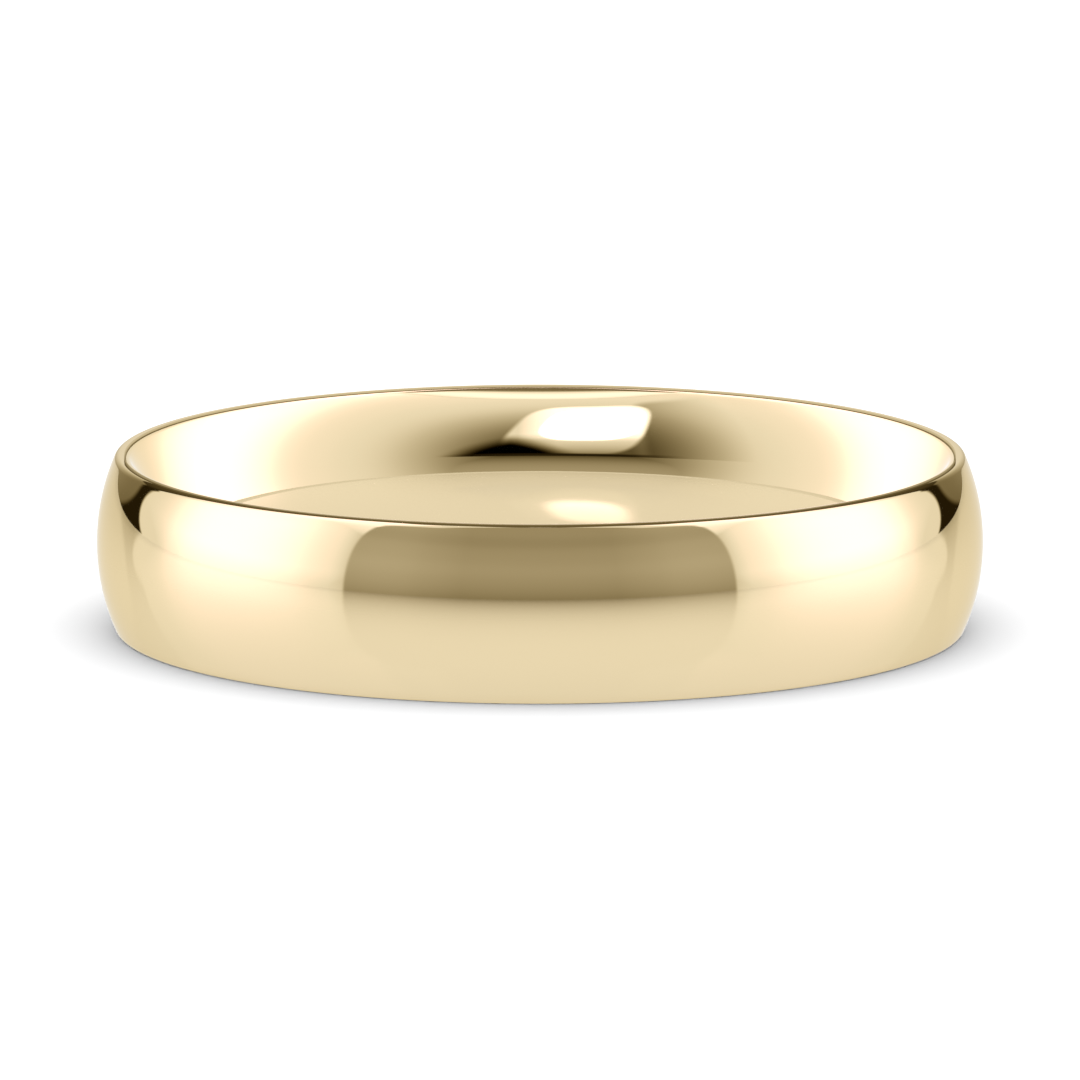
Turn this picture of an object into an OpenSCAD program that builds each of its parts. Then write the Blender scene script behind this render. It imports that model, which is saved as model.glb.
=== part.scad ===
// Plain court wedding band: one seamless ring of metal, domed outside and domed inside.
// The origin is the centre of the finger hole at mid width, and +Z runs along the hole.

/* [Band] */
// Width of the band, from one side to the other
band_width = 4; // [3:0.5:8]
// Diameter of the finger hole at mid width, where it is narrowest
finger_d = 17.4; // [14:0.1:22]
// Thickness of the metal at mid width, where it is thickest
wall = 1.33; // [1.25:0.01:1.6]

/* [Court section] */
// How much lower the outside dome is at the sides than at mid width
dome_rise = 0.44; // [0.3:0.01:0.55]
// Thickness left at each side, before its edges are rounded
side_thick = 0.28; // [0.27:0.01:0.36]
// Rounding between the outside dome and each side
dome_edge_r = 0.15; // [0.05:0.01:0.15]
// Rounding between the finger hole and each side
hole_edge_r = 0.18; // [0.04:0.01:0.18]

/* [Hidden] */
$fn = 256;
// A rounding's circle is this much larger, so that it crosses the faces it blends instead of grazing them
proud = 0.0001;

half_width = band_width / 2;
finger_r = finger_d / 2;
crown_r = finger_r + wall;
comfort_rise = wall - side_thick - dome_rise;

// Radius of the arc that crosses the width and rises this much at its middle
function arc_r(rise) = (half_width ^ 2 + rise ^ 2) / (2 * rise);

dome_r = arc_r(dome_rise);
comfort_r = arc_r(comfort_rise);

// Both arcs have their centres on the mid-width plane
dome_x = crown_r - dome_r;
comfort_x = finger_r + comfort_r;

// Where the roundings have their centres: this high, and this far from the band's axis
function edge_z(edge_r) = half_width - edge_r;
dome_edge_x = dome_x + sqrt((dome_r - dome_edge_r) ^ 2 - edge_z(dome_edge_r) ^ 2);
hole_edge_x = comfort_x - sqrt((comfort_r - hole_edge_r) ^ 2 - edge_z(hole_edge_r) ^ 2);

// What comes off the corner between an arc centred at arc_x and the upper side, to round it
module edge_waste(arc_x, edge_x, edge_r) {
    centre = [edge_x, edge_z(edge_r)];
    reach = 3 * edge_r;
    away = (centre - [arc_x, 0]) / norm(centre - [arc_x, 0]);
    outwards = sign(edge_x - arc_x);
    difference() {
        polygon([
            centre,
            centre + reach * away,
            [edge_x + reach * outwards, half_width + reach],
            [edge_x, half_width + reach],
        ]);
        translate(centre) circle(r = edge_r + proud);
    }
}

// Cross-section of the band, with X away from the axis and Y along it
module court_section() {
    difference() {
        intersection() {
            translate([dome_x, 0]) circle(r = dome_r);
            translate([comfort_x, 0]) circle(r = comfort_r);
            translate([finger_r - wall, -half_width]) square([3 * wall, band_width]);
        }
        for (side = [0, 1])
            mirror([0, side]) {
                edge_waste(dome_x, dome_edge_x, dome_edge_r);
                edge_waste(comfort_x, hole_edge_x, hole_edge_r);
            }
    }
}

// The whole ring, turned and polished from one seamless blank
module band() {
    color([0.86, 0.76, 0.52])
        rotate_extrude()
            court_section();
}

band();
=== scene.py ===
import math

import bpy
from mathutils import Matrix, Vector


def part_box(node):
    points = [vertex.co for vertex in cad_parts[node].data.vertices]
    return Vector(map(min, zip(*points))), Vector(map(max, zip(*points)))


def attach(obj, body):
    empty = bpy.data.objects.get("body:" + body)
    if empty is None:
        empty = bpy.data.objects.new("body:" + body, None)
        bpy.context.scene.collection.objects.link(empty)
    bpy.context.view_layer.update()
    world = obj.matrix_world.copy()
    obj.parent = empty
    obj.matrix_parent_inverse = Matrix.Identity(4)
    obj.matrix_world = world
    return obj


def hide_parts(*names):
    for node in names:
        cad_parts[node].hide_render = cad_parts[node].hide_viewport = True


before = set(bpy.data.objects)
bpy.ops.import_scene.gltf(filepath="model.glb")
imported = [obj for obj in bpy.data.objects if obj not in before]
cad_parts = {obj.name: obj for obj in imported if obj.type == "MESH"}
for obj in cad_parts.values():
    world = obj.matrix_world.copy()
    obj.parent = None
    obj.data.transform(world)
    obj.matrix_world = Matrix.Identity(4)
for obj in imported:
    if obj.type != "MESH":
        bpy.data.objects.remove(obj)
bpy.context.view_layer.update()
MM = 0.001

# ---- The band --------------------------------------------------------------------------------
# A plain court wedding band: one seamless ring of 18 carat yellow gold, turned from a tube blank.
# It is domed across its width outside, and domed again inside for comfort, and its two narrow
# sides are flats with softened edges. There is no stone, setting, seam or separate lining.

band_lo, band_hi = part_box("band")
crown_r = band_hi.x
half_width = band_hi.z
WALL = 1.33 * MM
DOME_RISE = 0.44 * MM
SIDE_THICK = 0.28 * MM
DOME_EDGE_R = 0.15 * MM
HOLE_EDGE_R = 0.18 * MM
finger_r = crown_r - WALL
ARC_STEPS = 32
DOME_EDGE_STEPS = 14
HOLE_EDGE_STEPS = 14
STEPS_ROUND = 504
SEAM_GAP = 0.001 * MM


def arc_radius(rise):
    """Radius of the arc that crosses the band's width and rises this much at its middle."""
    return (half_width**2 + rise**2) / (2 * rise)


def edge_centre(arc_x, arc_r, edge_r, outwards):
    """Centre of the rounding where an arc meets the upper side; outwards is 1 or -1."""
    z = half_width - edge_r
    return arc_x + outwards * math.sqrt((arc_r - edge_r) ** 2 - z**2), z


def arc_points(centre, radius, start, end, steps):
    """Points on an arc from one angle to another, without its last point."""
    for i in range(steps):
        a = start + (end - start) * i / steps
        yield centre[0] + radius * math.cos(a), centre[1] + radius * math.sin(a)


def court_section():
    """The cross-section, anticlockwise, as (depth of gold from the finger hole, height)."""
    dome_r = arc_radius(DOME_RISE)
    dome = (WALL - dome_r, 0)
    comfort_r = arc_radius(WALL - SIDE_THICK - DOME_RISE)
    comfort = (comfort_r, 0)
    dome_edge = edge_centre(dome[0], dome_r, DOME_EDGE_R, 1)
    hole_edge = edge_centre(comfort[0], comfort_r, HOLE_EDGE_R, -1)
    dome_end = math.atan2(dome_edge[1], dome_edge[0] - dome[0])
    hole_end = math.atan2(hole_edge[1], hole_edge[0] - comfort[0])
    up = math.pi / 2
    upper = list(arc_points(dome, dome_r, 0, dome_end, ARC_STEPS))
    upper += arc_points(dome_edge, DOME_EDGE_R, dome_end, up, DOME_EDGE_STEPS)
    upper.append((dome_edge[0], half_width))
    upper += arc_points(hole_edge, HOLE_EDGE_R, up, hole_end, HOLE_EDGE_STEPS)
    upper += arc_points(comfort, comfort_r, hole_end, math.pi, ARC_STEPS)
    upper.append((0, 0))
    lower = [(x, -z) for x, z in reversed(upper[1:-1])]
    return upper + lower


def court_line():
    """The cross-section as a closed line of points, which the lathe turns."""
    points = court_section()
    line = bpy.data.meshes.new("court_line")
    edges = [(i, (i + 1) % len(points)) for i in range(len(points))]
    line.from_pydata([(x, 0, z) for x, z in points], edges, [])
    return bpy.data.objects.new("court_line", line)


def calculate(tree, operation, *values):
    """A Math node of a shader or Geometry Nodes tree, fed with numbers or other outputs."""
    node = tree.nodes.new("ShaderNodeMath")
    node.operation = operation
    for socket, value in zip(node.inputs, values):
        if isinstance(value, bpy.types.NodeSocket):
            tree.links.new(value, socket)
        else:
            socket.default_value = value
    return node.outputs["Value"]


def lathe():
    """Geometry Nodes that turn a cross-section into a ring with closed seams."""
    tree = bpy.data.node_groups.new("lathe", "GeometryNodeTree")
    face = tree.interface
    face.new_socket("Geometry", in_out="OUTPUT", socket_type="NodeSocketGeometry")
    face.new_socket("Section", in_out="INPUT", socket_type="NodeSocketObject")
    face.new_socket("Finger Radius", in_out="INPUT", socket_type="NodeSocketFloat")
    face.new_socket("Steps Round", in_out="INPUT", socket_type="NodeSocketInt")
    face.new_socket("Seam Gap", in_out="INPUT", socket_type="NodeSocketFloat")
    face.new_socket("Finish", in_out="INPUT", socket_type="NodeSocketMaterial")
    nodes, links = tree.nodes, tree.links
    given = nodes.new("NodeGroupInput").outputs
    section = nodes.new("GeometryNodeObjectInfo")
    links.new(given["Section"], section.inputs["Object"])
    size = nodes.new("GeometryNodeAttributeDomainSize")
    links.new(section.outputs["Geometry"], size.inputs["Geometry"])
    across = calculate(tree, "ADD", size.outputs["Point Count"], 1)
    grid = nodes.new("GeometryNodeMeshGrid")
    links.new(calculate(tree, "ADD", given["Steps Round"], 1), grid.inputs["Vertices X"])
    links.new(across, grid.inputs["Vertices Y"])
    index = nodes.new("GeometryNodeInputIndex").outputs["Index"]
    step = calculate(tree, "FLOOR", calculate(tree, "DIVIDE", index, across))
    point = calculate(tree, "MODULO", calculate(tree, "MODULO", index, across),
                      size.outputs["Point Count"])
    outline = nodes.new("GeometryNodeSampleIndex")
    outline.data_type = "FLOAT_VECTOR"
    links.new(section.outputs["Geometry"], outline.inputs["Geometry"])
    links.new(nodes.new("GeometryNodeInputPosition").outputs["Position"], outline.inputs["Value"])
    links.new(point, outline.inputs["Index"])
    out = nodes.new("ShaderNodeCombineXYZ")
    links.new(given["Finger Radius"], out.inputs["X"])
    placed = nodes.new("ShaderNodeVectorMath")
    links.new(outline.outputs["Value"], placed.inputs[0])
    links.new(out.outputs["Vector"], placed.inputs[1])
    spun = nodes.new("ShaderNodeVectorRotate")
    spun.rotation_type = "Z_AXIS"
    links.new(placed.outputs["Vector"], spun.inputs["Vector"])
    share = calculate(tree, "DIVIDE", step, given["Steps Round"])
    links.new(calculate(tree, "MULTIPLY", share, 2 * math.pi), spun.inputs["Angle"])
    cut = nodes.new("GeometryNodeSetPosition")
    links.new(grid.outputs["Mesh"], cut.inputs["Geometry"])
    links.new(spun.outputs["Vector"], cut.inputs["Position"])
    closed = nodes.new("GeometryNodeMergeByDistance")
    links.new(cut.outputs["Geometry"], closed.inputs["Geometry"])
    links.new(given["Seam Gap"], closed.inputs["Distance"])
    smooth = nodes.new("GeometryNodeSetShadeSmooth")
    links.new(closed.outputs["Geometry"], smooth.inputs["Geometry"])
    real = nodes.new("GeometryNodeRealizeInstances")
    links.new(smooth.outputs["Geometry"], real.inputs["Geometry"])
    finish = nodes.new("GeometryNodeSetMaterial")
    links.new(real.outputs["Geometry"], finish.inputs["Geometry"])
    links.new(given["Finish"], finish.inputs["Material"])
    links.new(finish.outputs["Geometry"], nodes.new("NodeGroupOutput").inputs["Geometry"])
    return tree


def turned(name, tree, **sizes):
    """The plain mesh object that the tree makes from these inputs, named as in the tree."""
    blank = bpy.data.objects.new(name, bpy.data.meshes.new(name))
    bpy.context.scene.collection.objects.link(blank)
    modifier = blank.modifiers.new("turning", "NODES")
    modifier.node_group = tree
    for socket in tree.interface.items_tree:
        value = sizes.get(socket.name.lower().replace(" ", "_"))
        if value is not None:
            modifier[socket.identifier] = value
    ready = blank.evaluated_get(bpy.context.evaluated_depsgraph_get())
    mesh = bpy.data.meshes.new_from_object(ready)
    blank.modifiers.remove(modifier)
    blank.data = mesh
    return blank


# The finish is a mirror polish. Felt wheels leave hairlines that run round the ring, only just
# there, wearing leaves a few fine strokes across them, and the softened edges are handled most,
# so they are a touch duller than the domes.
GOLD = (0.83, 0.69, 0.437, 1)
GOLD_RUBBED = (0.80, 0.655, 0.40, 1)
GOLD_RIM = (0.92, 0.86, 0.72, 1)
MIRROR = 0.025
HAIRLINE_WIDTH = 0.03 * MM
HAIRLINES_A_TURN = 3
HAIRLINE_RARITY = 0.35
HAIRLINE_DULL = 0.012
STROKE_WIDTH = 0.02 * MM
STROKES_A_TURN = 9
STROKE_RARITY = 0.62
STROKE_DULL = 0.05
STROKE_DEPTH = 2
STROKE_SLANT = (math.radians(24), math.radians(17), 0)
RUBBED_WIDTH = 2 * DOME_EDGE_R
RUBBED_PATCH = 2.5 * MM
RUBBED_DULL = 0.06
LINE_RELIEF = 0.001 * MM
LINE_STRENGTH = 0.02
NOISE_DETAIL = 3


def polish_lines():
    """Shader group: fine lines left by a polishing wheel, round the axis or along strokes."""
    tree = bpy.data.node_groups.new("polish_lines", "ShaderNodeTree")
    face = tree.interface
    face.new_socket("Place", in_out="INPUT", socket_type="NodeSocketVector")
    face.new_socket("Lines Per Metre", in_out="INPUT", socket_type="NodeSocketFloat")
    face.new_socket("Streaks Per Turn", in_out="INPUT", socket_type="NodeSocketFloat")
    face.new_socket("Rarity", in_out="INPUT", socket_type="NodeSocketFloat")
    face.new_socket("Lines", in_out="OUTPUT", socket_type="NodeSocketFloat")
    nodes, links = tree.nodes, tree.links
    given = nodes.new("NodeGroupInput").outputs
    split = nodes.new("ShaderNodeSeparateXYZ")
    links.new(given["Place"], split.inputs["Vector"])
    x, y, z = split.outputs
    radius = calculate(tree, "SQRT", calculate(tree, "ADD", calculate(tree, "MULTIPLY", x, x),
                                               calculate(tree, "MULTIPLY", y, y)))
    streak = calculate(tree, "DIVIDE", given["Streaks Per Turn"], radius)
    around = nodes.new("ShaderNodeCombineXYZ")
    links.new(calculate(tree, "MULTIPLY", x, streak), around.inputs["X"])
    links.new(calculate(tree, "MULTIPLY", y, streak), around.inputs["Y"])
    depth = calculate(tree, "ADD", z, radius)
    links.new(calculate(tree, "MULTIPLY", depth, given["Lines Per Metre"]), around.inputs["Z"])
    noise = nodes.new("ShaderNodeTexNoise")
    noise.inputs["Scale"].default_value = 1
    noise.inputs["Detail"].default_value = NOISE_DETAIL
    links.new(around.outputs["Vector"], noise.inputs["Vector"])
    kept = nodes.new("ShaderNodeMapRange")
    kept.interpolation_type = "SMOOTHSTEP"
    kept.inputs["From Max"].default_value = 1
    links.new(noise.outputs["Fac"], kept.inputs["Value"])
    links.new(given["Rarity"], kept.inputs["From Min"])
    links.new(kept.outputs["Result"], nodes.new("NodeGroupOutput").inputs["Lines"])
    return tree


def polished_gold():
    """Mirror-polished 18 carat gold with hairlines, faint strokes and rubbed edges."""
    gold = bpy.data.materials.new("polished_gold")
    gold.use_nodes = True
    tree = gold.node_tree
    nodes, links = tree.nodes, tree.links
    shader = nodes["Principled BSDF"]
    shader.inputs["Metallic"].default_value = 1
    shader.inputs["Specular Tint"].default_value = GOLD_RIM
    place = nodes.new("ShaderNodeTexCoord").outputs["Object"]
    lines = polish_lines()
    hairlines = nodes.new("ShaderNodeGroup")
    hairlines.node_tree = lines
    hairlines.inputs["Lines Per Metre"].default_value = 1 / HAIRLINE_WIDTH
    hairlines.inputs["Streaks Per Turn"].default_value = HAIRLINES_A_TURN
    hairlines.inputs["Rarity"].default_value = HAIRLINE_RARITY
    links.new(place, hairlines.inputs["Place"])
    slanted = nodes.new("ShaderNodeMapping")
    slanted.inputs["Rotation"].default_value = STROKE_SLANT
    links.new(place, slanted.inputs["Vector"])
    strokes = nodes.new("ShaderNodeGroup")
    strokes.node_tree = lines
    strokes.inputs["Lines Per Metre"].default_value = 1 / STROKE_WIDTH
    strokes.inputs["Streaks Per Turn"].default_value = STROKES_A_TURN
    strokes.inputs["Rarity"].default_value = STROKE_RARITY
    links.new(slanted.outputs["Vector"], strokes.inputs["Place"])
    height = nodes.new("ShaderNodeSeparateXYZ")
    links.new(place, height.inputs["Vector"])
    edge = nodes.new("ShaderNodeMapRange")
    edge.interpolation_type = "SMOOTHSTEP"
    edge.inputs["From Min"].default_value = half_width - RUBBED_WIDTH
    edge.inputs["From Max"].default_value = half_width
    links.new(calculate(tree, "ABSOLUTE", height.outputs["Z"]), edge.inputs["Value"])
    patches = nodes.new("ShaderNodeTexNoise")
    patches.inputs["Scale"].default_value = 1 / RUBBED_PATCH
    links.new(place, patches.inputs["Vector"])
    rubbed = calculate(tree, "MULTIPLY", edge.outputs["Result"], patches.outputs["Fac"])
    tone = nodes.new("ShaderNodeMix")
    tone.data_type = "RGBA"
    tone.inputs["A"].default_value = GOLD
    tone.inputs["B"].default_value = GOLD_RUBBED
    links.new(rubbed, tone.inputs["Factor"])
    links.new(tone.outputs["Result"], shader.inputs["Base Color"])
    dull = calculate(tree, "MULTIPLY_ADD", hairlines.outputs["Lines"], HAIRLINE_DULL, MIRROR)
    dull = calculate(tree, "MULTIPLY_ADD", strokes.outputs["Lines"], STROKE_DULL, dull)
    dull = calculate(tree, "MULTIPLY_ADD", rubbed, RUBBED_DULL, dull)
    links.new(dull, shader.inputs["Roughness"])
    depth = calculate(tree, "MULTIPLY_ADD", strokes.outputs["Lines"], STROKE_DEPTH,
                      hairlines.outputs["Lines"])
    bump = nodes.new("ShaderNodeBump")
    bump.inputs["Strength"].default_value = LINE_STRENGTH
    bump.inputs["Distance"].default_value = LINE_RELIEF
    links.new(depth, bump.inputs["Height"])
    links.new(bump.outputs["Normal"], shader.inputs["Normal"])
    return gold


band = turned(
    "wedding_band",
    lathe(),
    section=court_line(),
    finger_radius=finger_r,
    steps_round=STEPS_ROUND,
    seam_gap=SEAM_GAP,
    finish=polished_gold(),
)
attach(band, "root")
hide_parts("band")
# The gold doesn't see itself: the window card below makes up what the inside wall mirrors.
band.visible_glossy = False

# ---- The table ---------------------------------------------------------------------------------
# A sheet of white satin acrylic that the band lies on. It is plain and evenly lit, and what the
# gold sees of it has a gloss that grows towards grazing angles, and little of the band's shadow,
# which a painted glow of its own fills in the gold's reflections.

TABLE_HALF = 3.0
ACRYLIC = (0.95, 0.95, 0.95, 1)
# Seen by the gold, the table is a dimmed white with a painted glow that fills the band's shadow.
ACRYLIC_UNDER_PAINTED_GLOW = (0.15, 0.15, 0.15, 1)
ACRYLIC_PAINTED_GLOW = 0.84
WHITE = (1, 1, 1, 1)
ACRYLIC_ROUGHNESS = 0.1
ACRYLIC_IOR = 1.3
table_z = band_lo.z
table_top = bpy.data.meshes.new("table")
corners = [(-1, -1), (1, -1), (1, 1), (-1, 1)]
table_verts = [(x * TABLE_HALF, y * TABLE_HALF, table_z) for x, y in corners]
table_top.from_pydata(table_verts, [], [(0, 1, 2, 3)])
table = bpy.data.objects.new("table", table_top)
bpy.context.scene.collection.objects.link(table)


def white_acrylic():
    """Matt white seen directly, and glossy white with a painted glow in the gold's reflections."""
    white = bpy.data.materials.new("white_acrylic")
    white.use_nodes = True
    nodes, links = white.node_tree.nodes, white.node_tree.links
    nodes.remove(nodes["Principled BSDF"])
    matt = nodes.new("ShaderNodeBsdfDiffuse")
    matt.inputs["Color"].default_value = ACRYLIC
    dimmed_matt = nodes.new("ShaderNodeBsdfDiffuse")
    dimmed_matt.inputs["Color"].default_value = ACRYLIC_UNDER_PAINTED_GLOW
    # Painted glow, seen only in the gold's reflections.
    glow = nodes.new("ShaderNodeEmission")
    glow.inputs["Strength"].default_value = ACRYLIC_PAINTED_GLOW
    body = nodes.new("ShaderNodeAddShader")
    links.new(dimmed_matt.outputs["BSDF"], body.inputs[0])
    links.new(glow.outputs["Emission"], body.inputs[1])
    polish = nodes.new("ShaderNodeBsdfGlossy")
    polish.inputs["Color"].default_value = WHITE
    polish.inputs["Roughness"].default_value = ACRYLIC_ROUGHNESS
    glancing = nodes.new("ShaderNodeFresnel")
    glancing.inputs["IOR"].default_value = ACRYLIC_IOR
    satin = nodes.new("ShaderNodeMixShader")
    links.new(glancing.outputs["Fac"], satin.inputs["Fac"])
    links.new(body.outputs["Shader"], satin.inputs[1])
    links.new(polish.outputs["BSDF"], satin.inputs[2])
    seen = nodes.new("ShaderNodeMixShader")
    links.new(nodes.new("ShaderNodeLightPath").outputs["Is Glossy Ray"], seen.inputs["Fac"])
    links.new(matt.outputs["BSDF"], seen.inputs[1])
    links.new(satin.outputs["Shader"], seen.inputs[2])
    links.new(seen.outputs["Shader"], nodes["Material Output"].inputs["Surface"])
    return white


table.data.materials.append(white_acrylic())

# ---- The light tent ------------------------------------------------------------------------------
# A white tent stands all round the table, and only the gold sees it. Its wall has two large soft
# boxes, one at each side, a grey card in front and an olive card at the back, with a dark gap
# between the back card and each soft box. The table shows the gaps and the back card lighter.

SKY_IN_GOLD = 1.1
SKY_ON_TABLE = 1.46


def sky():
    """The tent's roof: an even white, a little weaker in the gold than on the table."""
    world = bpy.data.worlds.new("sky")
    world.use_nodes = True
    tree = world.node_tree
    seen = tree.nodes.new("ShaderNodeLightPath").outputs["Is Glossy Ray"]
    strength = calculate(tree, "MULTIPLY_ADD", seen, SKY_IN_GOLD - SKY_ON_TABLE, SKY_ON_TABLE)
    background = tree.nodes["Background"]
    background.inputs["Color"].default_value = WHITE
    tree.links.new(strength, background.inputs["Strength"])
    bpy.context.scene.world = world


sky()

SHAPE_SIZES = ["Across", "Up", "Middle Across", "Middle Up", "Half Width", "Half Height", "Lean",
               "Corner", "Softness"]


def soft_shape():
    """Shader group: a soft-edged patch, from an ellipse (corner 2) to a box (corner 8)."""
    tree = bpy.data.node_groups.new("soft_shape", "ShaderNodeTree")
    face = tree.interface
    for name in SHAPE_SIZES:
        face.new_socket(name, in_out="INPUT", socket_type="NodeSocketFloat")
    face.new_socket("Mask", in_out="OUTPUT", socket_type="NodeSocketFloat")
    given = tree.nodes.new("NodeGroupInput").outputs
    up = calculate(tree, "SUBTRACT", given["Up"], given["Middle Up"])
    across = calculate(tree, "SUBTRACT", given["Across"], given["Middle Across"])
    leaned = calculate(tree, "MULTIPLY", up, given["Lean"])
    across = calculate(tree, "ABSOLUTE", calculate(tree, "SUBTRACT", across, leaned))
    across = calculate(tree, "DIVIDE", across, given["Half Width"])
    up = calculate(tree, "DIVIDE", calculate(tree, "ABSOLUTE", up), given["Half Height"])
    total = calculate(tree, "ADD", calculate(tree, "POWER", across, given["Corner"]),
                      calculate(tree, "POWER", up, given["Corner"]))
    reach = calculate(tree, "POWER", total, calculate(tree, "DIVIDE", 1, given["Corner"]))
    fade = tree.nodes.new("ShaderNodeMapRange")
    fade.interpolation_type = "SMOOTHSTEP"
    fade.inputs["To Min"].default_value = 1
    fade.inputs["To Max"].default_value = 0
    tree.links.new(reach, fade.inputs["Value"])
    tree.links.new(calculate(tree, "SUBTRACT", 1, given["Softness"]), fade.inputs["From Min"])
    tree.links.new(calculate(tree, "ADD", 1, given["Softness"]), fade.inputs["From Max"])
    tree.links.new(fade.outputs["Result"], tree.nodes.new("NodeGroupOutput").inputs["Mask"])
    return tree


shape_group = soft_shape()


def shape(tree, across, up, middle, half, corner=4.0, softness=0.05, lean=0.0):
    """A patch's mask: middle and half are (across, up), and softness is a share of half."""
    node = tree.nodes.new("ShaderNodeGroup")
    node.node_tree = shape_group
    values = [across, up, *middle, *half, lean, corner, softness]
    for name, value in zip(SHAPE_SIZES, values):
        if isinstance(value, bpy.types.NodeSocket):
            tree.links.new(value, node.inputs[name])
        else:
            node.inputs[name].default_value = value
    return node.outputs["Mask"]


def laid_over(tree, below, mask, above):
    """The brightness below, with the brightness above laid over it where the mask is."""
    mix = tree.nodes.new("ShaderNodeMix")
    for name, value in (("Factor", mask), ("A", below), ("B", above)):
        if isinstance(value, bpy.types.NodeSocket):
            tree.links.new(value, mix.inputs[name])
        else:
            mix.inputs[name].default_value = value
    return mix.outputs["Result"]


def graded(tree, value, low, high, *brightness):
    """Brightness that changes evenly with a value, through these levels from low to high."""
    curve = tree.nodes.new("ShaderNodeFloatCurve")
    points = curve.mapping.curves[0].points
    top = max(brightness)
    while len(points) < len(brightness):
        points.new(0.5, 0.5)
    for i, level in enumerate(brightness):
        points[i].location = (i / (len(brightness) - 1), level / top)
    curve.mapping.update()
    span = tree.nodes.new("ShaderNodeMapRange")
    span.inputs["From Min"].default_value = low
    span.inputs["From Max"].default_value = high
    tree.links.new(value, span.inputs["Value"])
    tree.links.new(span.outputs["Result"], curve.inputs["Value"])
    return calculate(tree, "MULTIPLY", curve.outputs["Value"], top)


GREEN_FALL = 1.1
GREEN_RISE = 0.8
GREEN_LEAST = 0.85
BLUE_FALL = 1.42


def card_tone():
    """Shader group: the colour of card at a brightness, warmer the darker it is."""
    tree = bpy.data.node_groups.new("card_tone", "ShaderNodeTree")
    tree.interface.new_socket("Brightness", in_out="INPUT", socket_type="NodeSocketFloat")
    tree.interface.new_socket("Color", in_out="OUTPUT", socket_type="NodeSocketColor")
    level = tree.nodes.new("NodeGroupInput").outputs["Brightness"]
    card = calculate(tree, "MINIMUM", level, 1)
    lamp = calculate(tree, "MAXIMUM", level, 1)
    tone = tree.nodes.new("ShaderNodeCombineColor")
    green = calculate(tree, "POWER", lamp, GREEN_RISE)
    green = calculate(tree, "MAXIMUM", green, calculate(tree, "MULTIPLY", lamp, GREEN_LEAST))
    channels = [("Red", 1, lamp), ("Green", GREEN_FALL, green), ("Blue", BLUE_FALL, lamp)]
    for channel, fall, glare in channels:
        shade = calculate(tree, "POWER", card, fall)
        tree.links.new(calculate(tree, "MULTIPLY", shade, glare), tone.inputs[channel])
    tree.links.new(tone.outputs["Color"], tree.nodes.new("NodeGroupOutput").inputs["Color"])
    return tree


tone_group = card_tone()
CARD_STEPS = 180


def bent_card(name, radius, low, high, brightness):
    """A card bent right round the band's axis, lit by its own material, seen only by the gold.

    brightness makes the card's brightness in its tree from the azimuth in degrees, 0 in front
    and positive to the right, the elevation in degrees, and the height in millimetres.
    """
    verts = []
    for i in range(CARD_STEPS):
        a = 2 * math.pi * i / CARD_STEPS
        x, y = radius * math.cos(a), radius * math.sin(a)
        verts += [(x, y, low), (x, y, high)]
    rings = [(2 * i, 2 * ((i + 1) % CARD_STEPS)) for i in range(CARD_STEPS)]
    mesh = bpy.data.meshes.new(name)
    mesh.from_pydata(verts, [], [(b, a, a + 1, b + 1) for a, b in rings])
    card = bpy.data.objects.new(name, mesh)
    bpy.context.scene.collection.objects.link(card)
    glow = bpy.data.materials.new(name)
    glow.use_nodes = True
    tree = glow.node_tree
    tree.nodes.remove(tree.nodes["Principled BSDF"])
    split = tree.nodes.new("ShaderNodeSeparateXYZ")
    tree.links.new(tree.nodes.new("ShaderNodeTexCoord").outputs["Object"], split.inputs["Vector"])
    x, y, z = split.outputs
    front = calculate(tree, "MULTIPLY", y, -1)
    azimuth = calculate(tree, "DEGREES", calculate(tree, "ARCTAN2", x, front))
    elevation = calculate(tree, "DEGREES", calculate(tree, "ARCTAN2", z, radius))
    height = calculate(tree, "DIVIDE", z, MM)
    tone = tree.nodes.new("ShaderNodeGroup")
    tone.node_tree = tone_group
    tree.links.new(brightness(tree, azimuth, elevation, height), tone.inputs["Brightness"])
    light = tree.nodes.new("ShaderNodeEmission")
    tree.links.new(tone.outputs["Color"], light.inputs["Color"])
    tree.links.new(light.outputs["Emission"], tree.nodes["Material Output"].inputs["Surface"])
    mesh.materials.append(glow)
    card.visible_camera = False
    card.visible_diffuse = False
    card.visible_shadow = False
    card.visible_transmission = False


# Patches of the tent's wall: azimuth and elevation of the middle, and half sizes, in degrees.
SOFT_BOX = {"middle": (90, 6), "half": (40.8, 13.5), "corner": 2, "softness": 0.02}
SIDE_SHEET = {"middle": (86.5, 0), "half": (39.5, 72), "corner": 8, "softness": 0.02}
FRONT_FLAP = {"middle": (0, 55), "half": (30, 30), "corner": 4, "softness": 0.1}
FRONT_CARD = {"middle": (0, 0), "half": (51.5, 39), "corner": 6, "softness": 0.012}
BACK_CARD = {"middle": (180, 10), "half": (44.5, 14), "corner": 2.5, "softness": 0.03}
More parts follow.
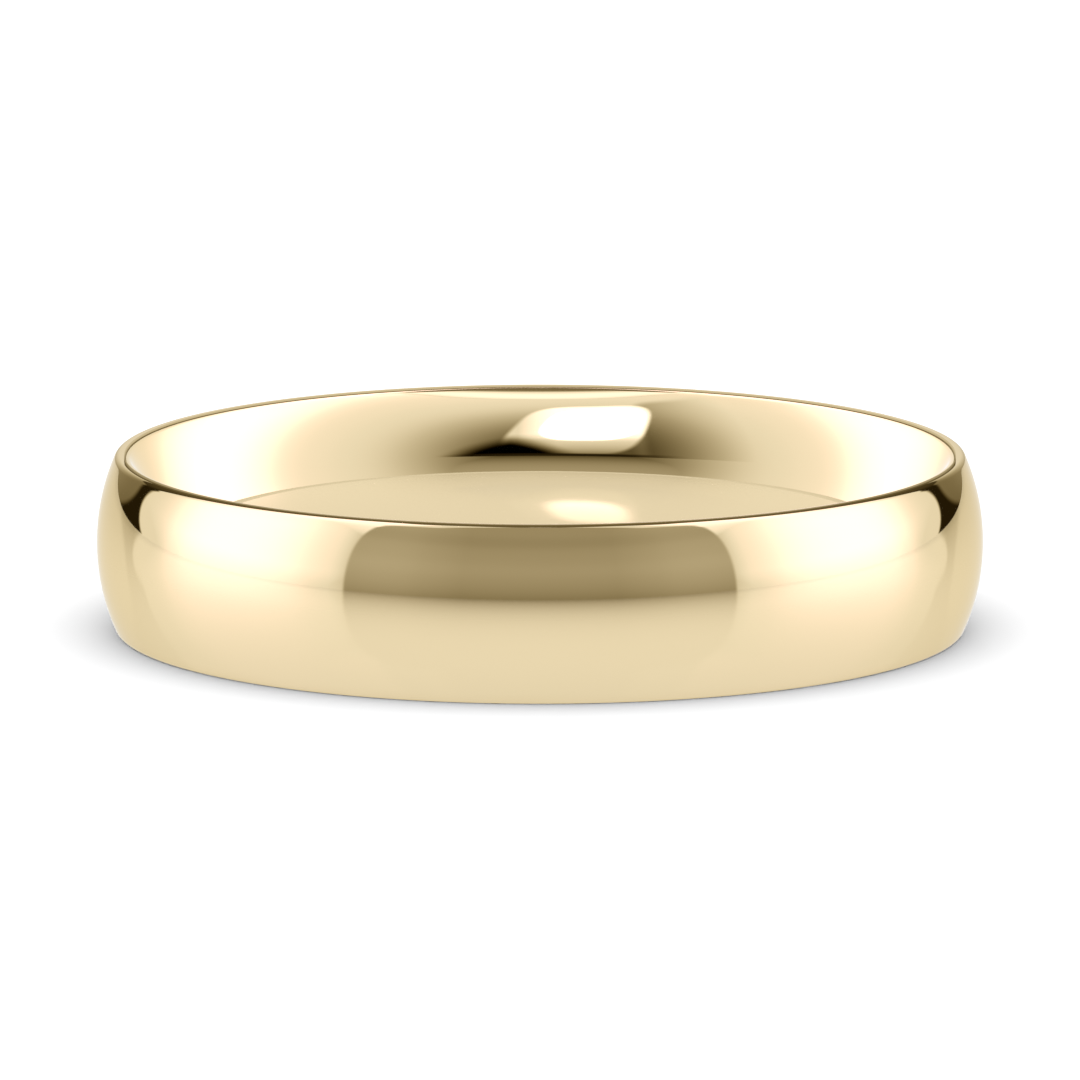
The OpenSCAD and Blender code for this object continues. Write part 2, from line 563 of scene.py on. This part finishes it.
# Gradients of brightness: from one angle in degrees to another, then the levels on the way.
GAP_FROM = (101, 103, 0, 1)
GAP_UPWARDS = (10, 40, 0.02, 0.12)
BOX_ACROSS = (50, 130, 1.0, 1.3, 1.8, 2.1, 2.2, 2.15, 1.7, 1.1, 0.97)
BOX_FOOT = (0, 8, 0.82, 0.88, 0.95, 1.0)
BOX_EDGE = (50, 56, 0.76, 0.9, 1.0)
BOX_UPWARDS = (18, 36, 0, 0.5, 1.2, 1.8)
FRONT_UPWARDS = (0, 40, 0.29, 0.37, 0.42, 0.45, 0.43, 0.41, 0.365, 0.395, 0.40)
FRONT_ACROSS = (20, 50, 0.0, 0.05, 0.09, 0.08)
BACK_ACROSS = (136, 180, 0.24, 0.27, 0.36, 0.5, 0.68, 0.86, 0.95)
BACK_FOOT = (0, 8, 0.72, 0.9, 1.0)
ROOF_FROM = (79, 84, 0, 1)
CLOTH = 0.95
LEAST_LIT = 0.97
FLAP_LEVEL = 0.4
ROOF_LEVEL = 0.14
# Light that has met more mirrors than this came by way of the table.
FIRST_MIRROR = 1.5
GAP_ON_TABLE = 0.53
BACK_ON_TABLE = 0.78


def tent_wall(tree, azimuth, elevation, height):
    """Brightness of the tent's wall: white cloth, dark gaps, soft boxes and grey cards."""
    side = calculate(tree, "ABSOLUTE", azimuth)
    depth = tree.nodes.new("ShaderNodeLightPath").outputs["Ray Depth"]
    on_table = calculate(tree, "GREATER_THAN", depth, FIRST_MIRROR)
    dark = graded(tree, elevation, *GAP_UPWARDS)
    dark = calculate(tree, "MULTIPLY_ADD", on_table, GAP_ON_TABLE, dark)
    wall = laid_over(tree, CLOTH, graded(tree, side, *GAP_FROM), dark)
    box = calculate(tree, "MAXIMUM", shape(tree, side, elevation, **SIDE_SHEET),
                    shape(tree, side, elevation, **SOFT_BOX))
    lit = calculate(tree, "MULTIPLY", graded(tree, side, *BOX_ACROSS),
                    graded(tree, elevation, *BOX_FOOT))
    lit = calculate(tree, "MAXIMUM", LEAST_LIT, lit)
    lit = calculate(tree, "MULTIPLY", lit, graded(tree, side, *BOX_EDGE))
    lit = calculate(tree, "MAXIMUM", lit, graded(tree, elevation, *BOX_UPWARDS))
    wall = laid_over(tree, wall, box, lit)
    wall = laid_over(tree, wall, shape(tree, side, elevation, **FRONT_FLAP), FLAP_LEVEL)
    grey = calculate(tree, "ADD", graded(tree, elevation, *FRONT_UPWARDS),
                     graded(tree, side, *FRONT_ACROSS))
    wall = laid_over(tree, wall, shape(tree, side, elevation, **FRONT_CARD), grey)
    olive = calculate(tree, "MULTIPLY", graded(tree, side, *BACK_ACROSS),
                      graded(tree, elevation, *BACK_FOOT))
    olive = calculate(tree, "MAXIMUM", olive, calculate(tree, "MULTIPLY", on_table, BACK_ON_TABLE))
    wall = laid_over(tree, wall, shape(tree, side, elevation, **BACK_CARD), olive)
    return laid_over(tree, wall, graded(tree, elevation, *ROOF_FROM), ROOF_LEVEL)


TENT_R = 100 * crown_r
TENT_TOP = TENT_R * math.tan(math.radians(88))
bent_card("tent_wall", TENT_R, table_z, TENT_TOP, tent_wall)

# ---- The window card -----------------------------------------------------------------------------
# A tall roll of card, a little wider than the finger hole, that only the gold sees. It is a
# painted reflection: its glow stands in for what the inside wall mirrors, its foot for the band's
# own near wall. Its foot is inside the band's metal, where no real card could stand. Its inside is
# brown in front, round a leaning window of light in a darker frame, and white at the back. Its
# outside is dim, which paints a dark line into the reflection on the band's flat sides.

ROLL_R = finger_r + 0.7 * MM
ROLL_TOP = 120 * MM
# The middle of the roll's dark front and how far it reaches: azimuth in degrees, height in mm.
DARK_MIDDLE = (-12, 2)
DARK_REACH = (98, 18)
# Patches of the roll, in the same units.
# The post, the shade and the sill paint darker places into the reflection.
POST = {"middle": (-74, 9), "half": (27, 9.8), "corner": 5, "softness": 0.12}
WINDOW = {"middle": (-19, 10), "half": (31, 7.8), "corner": 4, "softness": 0.06, "lean": -1.3}
LAMP = {"middle": (-26, 11.5), "half": (20, 4.5), "corner": 3, "softness": 0.25, "lean": -1.3}
SHADE = {"middle": (13, 2), "half": (25, 4.2), "corner": 1.3, "softness": 0.35}
SILL = {"middle": (-10, 2.1), "half": (42, 0.5), "corner": 4, "softness": 0.4}
# Gradients of brightness: from one reach, height or azimuth to another, then the levels.
ROLL_OUTWARDS = (0.3, 1.9, 0.12, 0.36, 0.66, 0.93, 1.05, 1.2, 1.85, 2.3, 2.4)
ROLL_FOOT = (-2, 2, 0.45, 0.42, 0.36, 0.25, 0.1)
POST_ACROSS = (-100, -48, 0, 0.15, 0.32, 0.5)
BRIM_FROM = (21.5, 22, 0, 1)
BRIM_UPWARDS = (22, 30, 1.0, 1.6, 1.7, 1.6, 1.3, 0.95, 0.45, 0.25, 0.22)
WINDOW_UPWARDS = (2, 8, 0.1, 0.41, 0.65, 0.82, 1.0, 1.6, 2.2)
WINDOW_ACROSS = (-8, 10, 1, 0.75, 0.45)
ABOVE_SIDE = (1.9, 2.0, 0, 1)
NEAR_UPWARDS = (2.1, 2.35, 0.75, 0.2)
OUTSIDE_UPWARDS = (2.0, 2.1, 0.55, 0.16)
LAMP_LEVEL = 25
SHADE_LEVEL = 0.0
SILL_LEVEL = 0.02
# Gold nearer to the roll than this is the rounding of the hole's edge. It gets a painted
# reflection of its own: light low on the roll, dark higher up.
NEAR = 2.4 * MM


def window_roll(tree, azimuth, elevation, height):
    """Painted reflection of the roll: post, brim, window, lamp, shade, sill, then near parts."""
    away = calculate(tree, "SUBTRACT", azimuth, DARK_MIDDLE[0])
    away = calculate(tree, "DIVIDE", away, DARK_REACH[0])
    above = calculate(tree, "SUBTRACT", height, DARK_MIDDLE[1])
    above = calculate(tree, "DIVIDE", above, DARK_REACH[1])
    reach = calculate(tree, "SQRT", calculate(tree, "ADD", calculate(tree, "MULTIPLY", away, away),
                                              calculate(tree, "MULTIPLY", above, above)))
    roll = graded(tree, reach, *ROLL_OUTWARDS)
    low = calculate(tree, "MAXIMUM", roll, graded(tree, height, *ROLL_FOOT))
    post = calculate(tree, "MULTIPLY", shape(tree, azimuth, height, **POST),
                     graded(tree, azimuth, *POST_ACROSS))
    roll = calculate(tree, "MULTIPLY", roll, calculate(tree, "SUBTRACT", 1, post))
    brim = graded(tree, height, *BRIM_UPWARDS)
    roll = laid_over(tree, roll, graded(tree, height, *BRIM_FROM), brim)
    lit = calculate(tree, "MULTIPLY", graded(tree, height, *WINDOW_UPWARDS),
                    graded(tree, azimuth, *WINDOW_ACROSS))
    roll = laid_over(tree, roll, shape(tree, azimuth, height, **WINDOW), lit)
    roll = laid_over(tree, roll, shape(tree, azimuth, height, **LAMP), LAMP_LEVEL)
    roll = laid_over(tree, roll, shape(tree, azimuth, height, **SHADE), SHADE_LEVEL)
    roll = laid_over(tree, roll, shape(tree, azimuth, height, **SILL), SILL_LEVEL)
    roll = laid_over(tree, low, graded(tree, height, *ABOVE_SIDE), roll)
    # Painted reflection for the rounding of the hole's edge.
    distance = tree.nodes.new("ShaderNodeLightPath").outputs["Ray Length"]
    roll = laid_over(tree, roll, calculate(tree, "LESS_THAN", distance, NEAR),
                     graded(tree, height, *NEAR_UPWARDS))
    # Painted dark line: the roll's outside is dim where the band's flat sides mirror it.
    outside = tree.nodes.new("ShaderNodeNewGeometry").outputs["Backfacing"]
    return laid_over(tree, roll, outside, graded(tree, height, *OUTSIDE_UPWARDS))


bent_card("window_roll", ROLL_R, table_z, ROLL_TOP, window_roll)

# ---- The camera ----------------------------------------------------------------------------------
# A long lens at a low angle looks across the band's near side into the far half of its hole.

CAMERA_TILT = math.radians(9.95)
CAMERA_DISTANCE = 35 * crown_r
SENSOR = 36
LENS = 516.95
NEAREST = 0.01
camera = bpy.data.objects.new("camera", bpy.data.cameras.new("camera"))
bpy.context.scene.collection.objects.link(camera)
camera.data.sensor_width = SENSOR
camera.data.lens = LENS
camera.data.clip_start = NEAREST
ahead = CAMERA_DISTANCE * math.cos(CAMERA_TILT)
camera.location = (0, -ahead, CAMERA_DISTANCE * math.sin(CAMERA_TILT))
camera.rotation_euler = (math.pi / 2 - CAMERA_TILT, 0, 0)
bpy.context.scene.camera = camera
bpy.context.scene.view_settings.view_transform = "Standard"
bpy.context.scene.cycles.caustics_reflective = False
bpy.context.scene.cycles.caustics_refractive = False
